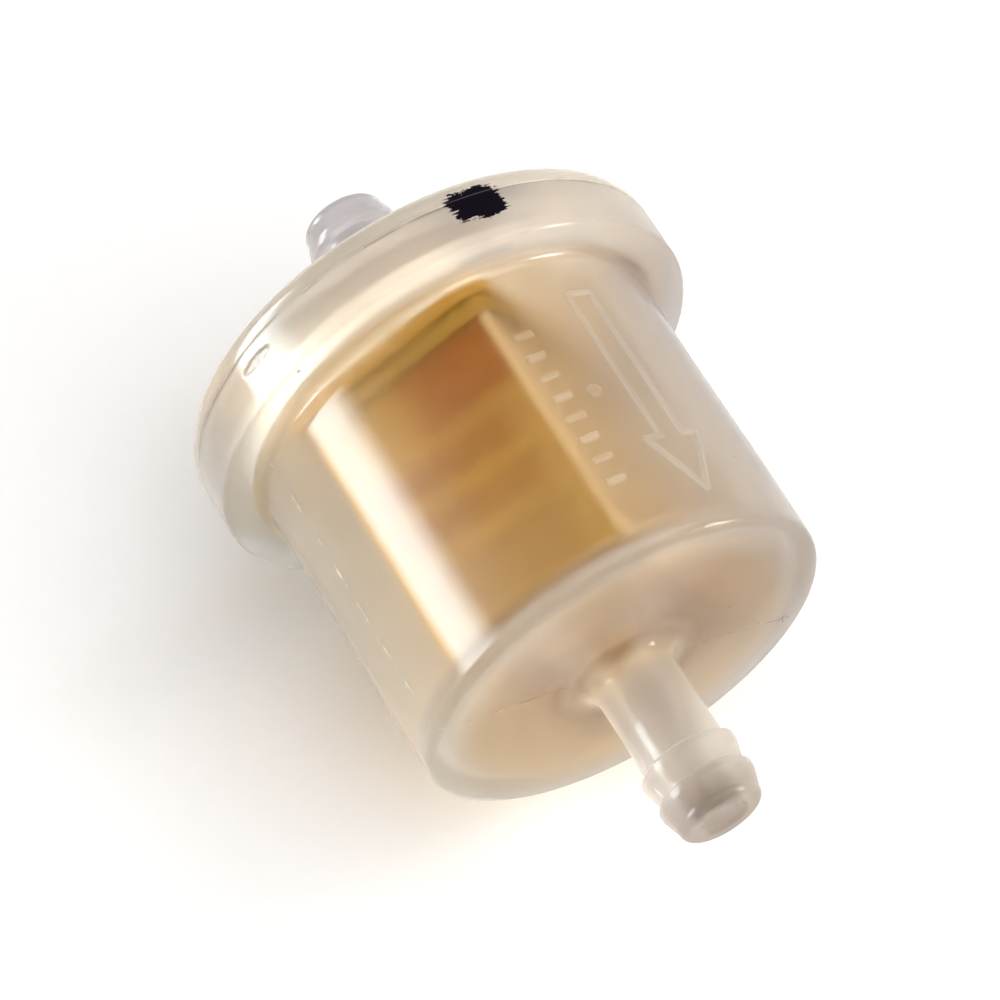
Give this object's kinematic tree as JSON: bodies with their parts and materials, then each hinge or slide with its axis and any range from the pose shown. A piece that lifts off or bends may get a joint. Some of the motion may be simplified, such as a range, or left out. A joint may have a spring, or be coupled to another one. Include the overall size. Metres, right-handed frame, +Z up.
{
  "type": "fuel filter",
  "caption": "Small in-line fuel filter: translucent nylon cup and flanged cap, a barbed hose stem at each end, and a pleated paper element sealed inside.",
  "frame": {"origin": "on the flow axis, at the middle of the cup's body, which is the middle of its straight clip land", "axes": "+X along the flow axis from the inlet stem to the outlet stem; +Z up, with the paper pack turned 28 degrees about +X from Z"},
  "size_m": [0.057, 0.0384, 0.0384],
  "materials": {
    "nylon_cup": "natural translucent nylon, milky, satin gloss",
    "nylon_cap": "natural translucent nylon, milky, satin gloss",
    "frame_nylon": "natural nylon",
    "filter_paper": "resin-cured filter paper with pressed spacer ridges",
    "adhesive": "yellow hot-melt adhesive"
  },
  "bodies": {
    "root": {"outlet_cup": "nylon_cup", "inlet_cap": "nylon_cap", "element_frame": "frame_nylon", "pleated_paper": "filter_paper", "frame_adhesive": "adhesive", "left_edge_seals": "adhesive", "right_edge_seals": "adhesive"}
  },
  "joints": []
}
